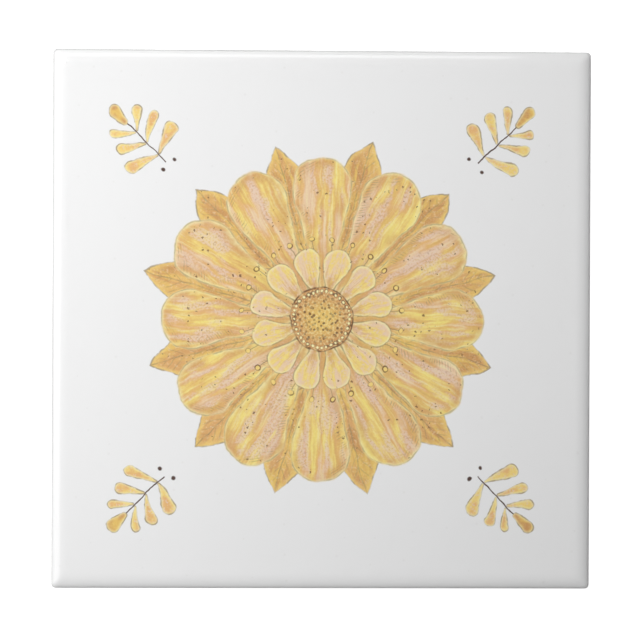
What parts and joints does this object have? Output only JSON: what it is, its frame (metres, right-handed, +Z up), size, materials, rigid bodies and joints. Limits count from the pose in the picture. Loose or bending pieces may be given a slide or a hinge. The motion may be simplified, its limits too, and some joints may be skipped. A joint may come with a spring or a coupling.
{
  "type": "glazed ceramic tile",
  "caption": "Square white glazed ceramic tile with cushioned edges, a printed rosette on its face and an unglazed back with shallow keying pockets.",
  "frame": {"origin": "centre of the plane that the back's rim rests on", "axes": "+Z up out of the glazed face, +Y towards the top edge of the print, +X towards its right edge"},
  "size_m": [0.108, 0.108, 0.006],
  "materials": {
    "glaze": "glossy white glaze with a print in yellows and tans on the face",
    "biscuit": "matt fired clay, bare on the lower sides and the back"
  },
  "bodies": {
    "root": {"tile": "glaze"}
  },
  "joints": []
}
